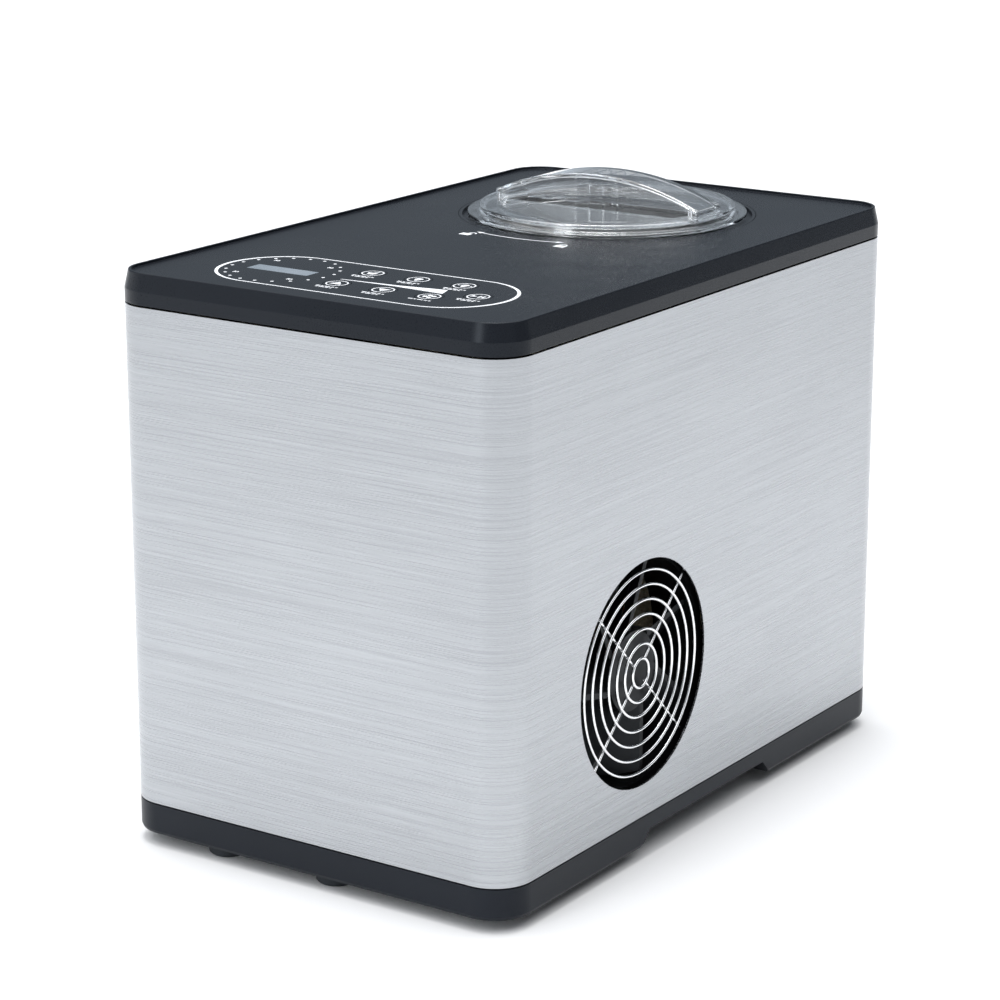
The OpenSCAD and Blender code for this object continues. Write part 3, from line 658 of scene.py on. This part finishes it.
def make_cover(materials):
    """The top cover with true rounded edges, in place of the CAD one."""
    mesh = bmesh.new()
    profile = filleted(COVER_PROFILE)
    # Rounding can leave an inset a hair below zero.
    rings = [add_loop(mesh, case_points(max(inset, 0.0)), z) for inset, z in profile]
    for low, high in zip(rings, rings[1:]):
        bridge(mesh, low, high)
    inner = add_loop(mesh, case_points(COVER_WALL), UNDER_Z)
    bridge(mesh, rings[0], inner)

    recess_z = PANEL_Z - OVERLAY_T
    opening = circle_points(0, LID_Y, COLLAR_R, LID_TURNS)
    lid_top, lid_bottom = [add_loop(mesh, opening, z) for z in (PANEL_Z, UNDER_Z)]
    bridge(mesh, lid_top, lid_bottom)
    recess = stadium_points(PANEL_END, PANEL_Y, PANEL_R)
    edge, floor = [add_loop(mesh, recess, z) for z in (PANEL_Z, recess_z)]
    bridge(mesh, edge, floor)
    wells = [circle_points(x, PANEL_Y + y, KEY_R + KEY_GAP) for x, y in KEYS.values()]
    length, width = WINDOW_L + WINDOW_PLAY, WINDOW_W + WINDOW_PLAY
    wells.append(box_points(WINDOW_X, WINDOW_Y, length, width))
    tops = [add_loop(mesh, well, recess_z) for well in wells]
    bottoms = [add_loop(mesh, well, UNDER_Z) for well in wells]
    for top, bottom in zip(tops, bottoms):
        bridge(mesh, top, bottom)
    flat_face(mesh, rings[-1], [lid_top, edge])
    flat_face(mesh, floor, tops)
    flat_face(mesh, inner, [lid_bottom, *bottoms])
    cover = make_piece(
        "cover_shell", mesh, "housing", materials["cover_plastic"]
    )
    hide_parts("top_cover")
    weighted_normals(cover)


def lathe(mesh, profile, x, y, turns):
    """A closed solid turned round an upright axis, from the axis out and back."""
    middle = [mesh.verts.new((x, y, profile[i][1])) for i in (0, -1)]
    rings = [add_loop(mesh, circle_points(x, y, r, turns), z) for r, z in profile[1:-1]]
    for low, high in zip(rings, rings[1:]):
        bridge(mesh, low, high)
    for centre, ring in zip(middle, (rings[0], rings[-1])):
        for i in range(turns):
            mesh.faces.new((centre, ring[i], ring[(i + 1) % turns]))


def arch_height(x, inset=0.0):
    """Height of the grip's arch at one place along it."""
    return ARCH_Z + math.sqrt((ARCH_R - inset) ** 2 - x * x)


def arch_section(mesh, x, inset, radius, drop=0.0, steps=5):
    """The upside-down U of the arch at one place along it."""
    half = ARCH_Y - inset
    top = arch_height(x, inset) - drop
    right = [
        (half - radius + radius * math.cos(a), top - radius + radius * math.sin(a))
        for a in [math.radians(90 * k / steps) for k in range(steps + 1)]
    ]
    left = [(-y, z) for y, z in reversed(right)]
    line = [(half, ARCH_FOOT), *right, *left, (-half, ARCH_FOOT)]
    return [mesh.verts.new((x, LID_Y + y, z)) for y, z in line]


def arch_skin(mesh, inset, radius, edge):
    """A row of sections with closed ends, open below. Returns the loop round its foot."""
    end = ARCH_X - inset
    places = [-end, -end + edge * END_SHARE, -end + edge]
    middle = 2 * end - 2 * edge
    places += [-end + edge + middle * k / ARCH_STEPS for k in range(1, ARCH_STEPS)]
    places += [end - edge, end - edge * END_SHARE, end]
    drops = {0: edge, 1: edge * END_SHARE}
    last = len(places) - 1
    rows = []
    for i, x in enumerate(places):
        drop = drops.get(min(i, last - i), 0.0)
        rows.append(arch_section(mesh, x, inset + SIDE_SHARE * drop, radius, drop))
    for a, b in zip(rows, rows[1:]):
        for i in range(len(a) - 1):
            mesh.faces.new((a[i], a[i + 1], b[i + 1], b[i]))
    mesh.faces.new(rows[0])
    mesh.faces.new(rows[-1])
    return [row[0] for row in rows] + [row[-1] for row in reversed(rows)]


def make_lid_shell(clear):
    """The lid's round body, with the opening under the grip."""
    mesh = bmesh.new()
    lathe(mesh, filleted(LID_PROFILE, 4), 0, LID_Y, LID_TURNS)
    shell = make_piece("lid_shell", mesh, "lid", clear)
    length, width = 2 * (ARCH_X - OPENING_MARGIN), 2 * (ARCH_Y - OPENING_MARGIN)
    tool = bmesh.new()
    prism(tool, box_points(0, LID_Y, length, width), *OPENING_Z)
    cut(shell, make_piece("grip_cutter", tool, "lid", clear))
    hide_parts("lid")
    weighted_normals(shell)


def make_lid_grip(clear):
    """The hollow arch, with the plates across it and the posts at its corners."""
    mesh = bmesh.new()
    outside = arch_skin(mesh, *ARCH_OUTSIDE)
    inside = arch_skin(mesh, *ARCH_INSIDE)
    flat_face(mesh, outside, [inside])
    width = 2 * (ARCH_Y - ARCH_WALL + RIB_OVERLAP)
    for x in RIB_X:
        high = arch_height(x, ARCH_WALL) + RIB_OVERLAP
        prism(mesh, box_points(x, LID_Y, RIB_T, width), ARCH_FOOT - RIB_DROP, high)
    for x in (-POST_X, POST_X):
        for y in (-POST_Y, POST_Y):
            lathe(mesh, filleted(POST_PROFILE, 4), x, LID_Y + y, 32)
    grip = make_piece("lid_grip", mesh, "lid", clear)
    weighted_normals(grip)


def make_lid_locks(clear):
    """The three lugs on the lid's skirt."""
    mesh = bmesh.new()
    near_r, far_r = LUG_R
    for turn in LUG_TURNS:
        start, sweep = turn - LUG_HALF, 2 * LUG_HALF
        far = circle_points(0, LID_Y, far_r, 12, start, sweep)
        near = circle_points(0, LID_Y, near_r, 12, start, sweep)
        prism(mesh, far + near[::-1], *LUG_Z)
    make_piece("lid_locks", mesh, "lid", clear)


def make_lid(materials):
    """The clear lid and its arched grip, with rounded edges, in place of the CAD one."""
    clear = materials["lid_clear"]
    make_lid_shell(clear)
    make_lid_grip(clear)
    make_lid_locks(clear)


# ---- prints ----


def ink(mesh, outer, holes=()):
    """One printed shape on the panel."""
    prism(mesh, outer, INK_LOW, INK_HIGH, holes)


def ink_arc(mesh, x, y, inner, outer, start, sweep, n=40):
    """A printed band along an arc."""
    far = circle_points(x, y, outer, n, start, sweep)
    near = circle_points(x, y, inner, n, start, sweep)
    ink(mesh, far + near[::-1])


def shifted(points, x, y, turn=0.0):
    """Points turned and moved."""
    c, s = math.cos(math.radians(turn)), math.sin(math.radians(turn))
    return [(x + (px * c - py * s), y + (px * s + py * c)) for px, py in points]


def add_outline(mesh):
    """The white line round the panel."""
    outer, inner = [
        stadium_points(PANEL_END + longer, PANEL_Y, PANEL_R + wider)
        for longer, wider in OUTLINE
    ]
    ink(mesh, outer, [inner])


def add_dial(mesh):
    """The ring of dots round the display, with four bar-and-ring marks inside it."""
    step = 360 / DIAL_DOTS
    for k in range(DIAL_DOTS):
        a = math.radians(step * (k + 0.5))
        x = DIAL_X + DIAL_R * math.cos(a)
        y = PANEL_Y + DIAL_R * math.sin(a)
        ink(mesh, circle_points(x, y, DOT_R, 16))
    inner_r, outer_r = MARK_RING
    for turn in MARK_TURNS:
        x = DIAL_X + MARK_R * math.cos(math.radians(turn))
        y = PANEL_Y + MARK_R * math.sin(math.radians(turn))
        ink(mesh, box_points(x - MARK_SPREAD, y, *MARK_BAR))
        outer = circle_points(x + MARK_SPREAD, y, outer_r, 16)
        inner = circle_points(x + MARK_SPREAD, y, inner_r, 16)
        ink(mesh, outer, [inner])


def add_captions(mesh):
    """Rows of short dashes under the keys, in place of their captions."""
    for name, (x, away) in KEYS.items():
        rows = 1 if name == "key_stir" else 2
        for row in range(rows):
            place = x + CAPTION_X + row
            y = PANEL_Y + away + CAPTION_Y - CAPTION_STEP * row
            for dash in CAPTION_DASHES[row:]:
                ink(mesh, box_points(place + dash / 2, y, dash, CAPTION_W))
                place += dash + CAPTION_GAP


def add_lock_marks(mesh):
    """The arc with arrowheads and the open and closed padlocks, in front of the lid."""
    start, end = LOCK_ARC
    ink_arc(mesh, 0, LID_Y, *LOCK_ARC_R, start, end - start)
    for turn, way in ((start, -1), (end, 1)):
        x = ARROW_R * math.cos(math.radians(turn))
        y = LID_Y + ARROW_R * math.sin(math.radians(turn))
        head = [(ARROW_LENGTH * way, 0), (0, ARROW_HALF), (0, -ARROW_HALF)]
        ink(mesh, shifted(head, x, y, turn + 90))
    for x, y, swing in PADLOCKS:
        ink(mesh, box_points(x, y - PADLOCK_DROP, *PADLOCK_BODY))
        ink_arc(mesh, x + swing, y + SHACKLE_RISE, *SHACKLE_R, 0, 180, 16)


def make_print(materials):
    """The panel's white outline, dial marks, pointer bar, captions and lock marks."""
    mesh = bmesh.new()
    add_outline(mesh)
    add_dial(mesh)
    ink(mesh, POINTER_BAR)
    add_captions(mesh)
    add_lock_marks(mesh)
    make_piece("panel_print", mesh, "housing", materials["panel_ink"])


def key_icon(mesh, name, x, y):
    """The plain picture on one key."""
    if name == "key_time_up":
        ink(mesh, shifted([(-3.4, -1.9), (3.4, -1.9), (0, 2.9)], x, y))
    elif name == "key_time_down":
        ink(mesh, shifted([(-3.4, 1.9), (0, -2.9), (3.4, 1.9)], x, y))
    elif name == "key_stir":
        for turn in range(0, 360, 90):
            blade = circle_points(1.9, 0.9, 1.25, 20)
            ink(mesh, shifted(blade, x, y, turn))
    elif name == "key_start":
        ink(mesh, shifted([(-3.6, -1.7), (-3.6, 1.7), (-0.6, 0)], x, y))
        for bar in (0.9, 2.9):
            ink(mesh, box_points(x + bar, y, 1.1, 3.6))
    elif name == "key_mix_only":
        ink(mesh, shifted([(-2.8, 0.6), (2.8, 0.6), (1.7, -2.6), (-1.7, -2.6)], x, y))
        ink(mesh, shifted([(-0.5, 1.2), (0.5, 1.2), (2.3, 3.2), (1.3, 3.4)], x, y))
    else:
        ink(mesh, shifted([(-1.9, -0.2), (1.9, -0.2), (0, -3.4)], x, y))
        ink_arc(mesh, x, y + 0.3, 0.2, 2.2, 0, 180, 20)
        if name == "key_firm":
            for side in (-3.4, 3.4):
                ink(mesh, circle_points(x + side, y + 0.4, 0.6, 12))


def make_key_prints(materials):
    """The white ring and picture on each key, riding on that key."""
    for name, (x, away) in KEYS.items():
        y = PANEL_Y + away
        mesh = bmesh.new()
        inner, outer = [circle_points(x, y, r, 64) for r in KEY_RING]
        ink(mesh, outer, [inner])
        key_icon(mesh, name, x, y)
        make_piece(name + "_print", mesh, name, materials["panel_ink"])


# ---- studio ----


def make_stage():
    """A plain pale floor."""
    mesh = bmesh.new()
    bmesh.ops.create_grid(mesh, x_segments=1, y_segments=1, size=FLOOR_HALF)
    data = bpy.data.meshes.new("floor")
    mesh.to_mesh(data)
    mesh.free()
    floor = bpy.data.objects.new("floor", data)
    floor.location.z = FLOOR_Z
    bpy.context.scene.collection.objects.link(floor)
    mat, tree, shader = new_material("floor_white")
    tone = colours(tree, noise(tree, 3.0), (0.90, 0.90, 0.905), (0.91, 0.91, 0.912))
    tree.links.new(tone, shader.inputs["Base Color"])
    shader.inputs["Roughness"].default_value = 0.9
    shader.inputs["Specular IOR Level"].default_value = 0.1
    data.materials.append(mat)


def add_lamp(name, place, target, size, watts):
    """A soft light aimed at a point."""
    data = bpy.data.lights.new(name, "AREA")
    data.shape = "RECTANGLE"
    data.size, data.size_y = size
    data.energy = watts
    light = bpy.data.objects.new(name, data)
    bpy.context.scene.collection.objects.link(light)
    light.location = place
    aim = Vector(target) - Vector(place)
    light.rotation_euler = aim.to_track_quat("-Z", "Y").to_euler()


def math_node(tree, operation, a, b=None):
    """One sum on sockets or numbers."""
    step = tree.nodes.new("ShaderNodeMath")
    step.operation = operation
    for socket, value in zip(step.inputs, (a, b)):
        if value is None:
            continue
        if isinstance(value, (int, float)):
            socket.default_value = value
        else:
            tree.links.new(value, socket)
    return step.outputs[0]


def smooth_step(tree, value, start, end):
    """0 before start, 1 after end and smooth between them."""
    step = tree.nodes.new("ShaderNodeMapRange")
    step.interpolation_type = "SMOOTHSTEP"
    step.inputs["From Min"].default_value = start
    step.inputs["From Max"].default_value = end
    tree.links.new(value, step.inputs["Value"])
    return step.outputs["Result"]


def band(tree, value, start, end, soft):
    """1 between start and end, with soft edges."""
    rise = smooth_step(tree, value, start - soft, start + soft)
    fall = smooth_step(tree, value, end - soft, end + soft)
    return math_node(tree, "SUBTRACT", rise, fall)


def fade(tree, share, a, b):
    """a where share is 0 and b where it is 1; each is a socket or a number."""
    mix = tree.nodes.new("ShaderNodeMix")
    mix.data_type = "FLOAT"
    tree.links.new(share, mix.inputs["Factor"])
    for name, value in (("A", a), ("B", b)):
        if isinstance(value, (int, float)):
            mix.inputs[name].default_value = value
        else:
            tree.links.new(value, mix.inputs[name])
    return mix.outputs["Result"]


def seen_straight(tree):
    """1 for what the camera sees directly or through clear pieces alone, else 0.

    What it sees through clear pieces after a reflection gets a small share.
    """
    path = tree.nodes.new("ShaderNodeLightPath")
    through = path.outputs["Is Transmission Ray"]
    no_diffuse = math_node(tree, "LESS_THAN", path.outputs["Diffuse Depth"], 0.5)
    no_glossy = math_node(tree, "LESS_THAN", path.outputs["Glossy Depth"], 0.5)
    share = fade(tree, no_glossy, THROUGH_SHARE, 1.0)
    share = math_node(tree, "MULTIPLY", no_diffuse, share)
    through = math_node(tree, "MULTIPLY", through, share)
    return math_node(tree, "MAXIMUM", path.outputs["Is Camera Ray"], through)


def make_world():
    """A white backdrop for the camera, and soft boxes among grey walls for everything else."""
    world = bpy.data.worlds.new("studio")
    bpy.context.scene.world = world
    world.use_nodes = True
    tree = world.node_tree
    back = tree.nodes["Background"]
    parts = tree.nodes.new("ShaderNodeSeparateXYZ")
    source = tree.nodes.new("ShaderNodeTexCoord")
    tree.links.new(source.outputs["Generated"], parts.inputs["Vector"])
    x, y, z = parts.outputs
    bearing = math_node(tree, "DEGREES", math_node(tree, "ARCTAN2", y, x))
    wall = WALL_DARK
    for start, end, soft, light in WALL_LIGHTS:
        glow = math_node(tree, "MULTIPLY", band(tree, bearing, start, end, soft), light)
        wall = math_node(tree, "ADD", glow, wall)
    behind = math_node(tree, "MULTIPLY", band(tree, bearing, *HORIZON_BAND), HORIZON_DROP)
    horizon = math_node(tree, "SUBTRACT", BACKDROP, behind)
    wall = fade(tree, smooth_step(tree, z, *HORIZON_EDGE), horizon, wall)
    overhead = smooth_step(tree, z, *CEILING_EDGE)
    light = fade(tree, overhead, wall, CEILING)
    seen = seen_straight(tree)
    tree.links.new(fade(tree, seen, light, BACKDROP), back.inputs["Strength"])
    tint_mix = tree.nodes.new("ShaderNodeMix")
    tint_mix.data_type = "RGBA"
    tint_mix.inputs["A"].default_value = (*WALL_TINT, 1)
    tint_mix.inputs["B"].default_value = (*WHITE_TINT, 1)
    front = math_node(tree, "MULTIPLY", band(tree, bearing, *FRONT_BAND), FRONT_WHITE)
    white = math_node(tree, "MAXIMUM", seen, overhead)
    white = math_node(tree, "MAXIMUM", white, front)
    tree.links.new(white, tint_mix.inputs["Factor"])
    tree.links.new(tint_mix.outputs["Result"], back.inputs["Color"])


def make_lights():
    """One large soft light overhead and one at the side."""
    for lamp in LAMPS:
        add_lamp(*lamp)


def make_camera():
    """The camera, at the place and angle the object was seen from."""
    data = bpy.data.cameras.new("camera")
    data.sensor_width = 36.0
    data.lens = LENS
    data.clip_start, data.clip_end = 0.05, 50.0
    camera = bpy.data.objects.new("camera", data)
    bpy.context.scene.collection.objects.link(camera)
    camera.location = CAMERA_PLACE
    camera.rotation_euler = (math.radians(90 - CAMERA_DOWN), 0, math.radians(CAMERA_ROUND))
    bpy.context.scene.camera = camera
    bpy.context.scene.view_settings.view_transform = "Standard"


# ---- scene ----


def dress_nodes(frame, materials):
    """Gives every CAD node the material of its slot."""
    for sub in frame["record"]["subparts"]:
        node = frame["nodes"][sub["node"]]
        for place in node.material_slots:
            place.material = materials[sub["material_slot"]]


def main():
    """Builds the scene."""
    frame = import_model()
    materials = make_materials()
    dress_nodes(frame, materials)
    make_cover(materials)
    make_lid(materials)
    make_print(materials)
    make_key_prints(materials)
    make_stage()
    make_world()
    make_lights()
    make_camera()


main()
